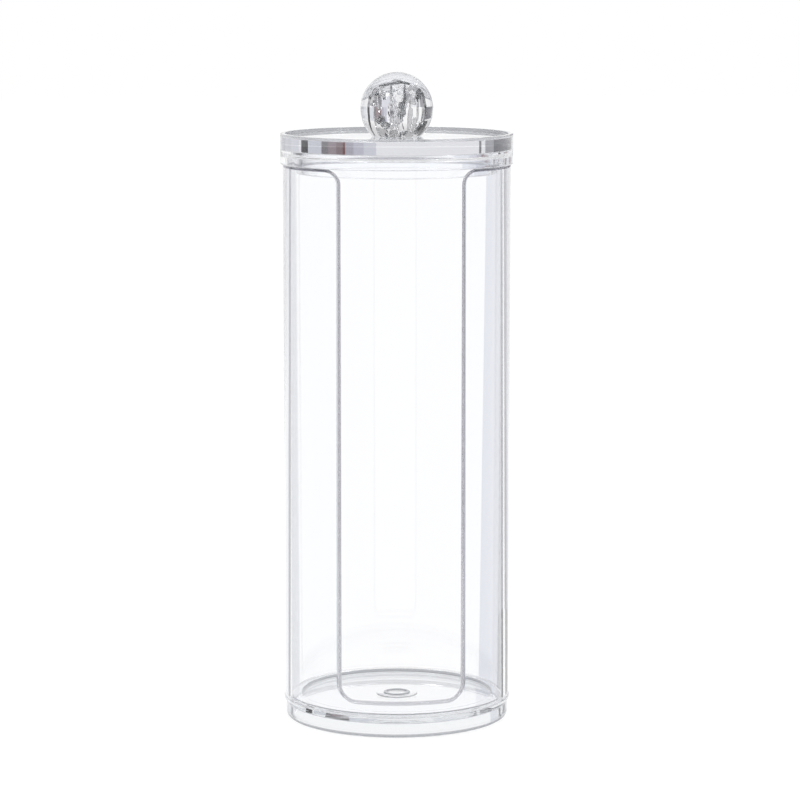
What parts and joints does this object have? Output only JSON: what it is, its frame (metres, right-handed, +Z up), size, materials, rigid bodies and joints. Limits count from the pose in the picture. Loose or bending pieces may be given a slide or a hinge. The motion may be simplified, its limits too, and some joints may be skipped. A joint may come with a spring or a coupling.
{
  "type": "cotton pad holder",
  "caption": "Tall clear plastic cylinder for round cotton pads, with a full-height front slot, a stepped base and a lift-off lid with a ball knob.",
  "frame": {"origin": "centre of the foot, on the surface that the holder stands on", "axes": "+Z up along the tube, slot facing -Y, +X to the right as seen from the slot"},
  "size_m": [0.07, 0.07, 0.1961],
  "materials": {
    "clear_body": "clear polished moulding",
    "clear_lid": "clear polished moulding",
    "crackled_ball": "clear polished ball, crackled inside"
  },
  "bodies": {
    "container": {"base": "clear_body", "tube": "clear_body"},
    "lid": {"lid": "clear_lid", "knob": "crackled_ball"}
  },
  "joints": [
    {"name": "lid_lift", "type": "slide", "parent": "container", "child": "lid", "axis": [0, 0, 1], "range_m": [0, 0.03]}
  ]
}
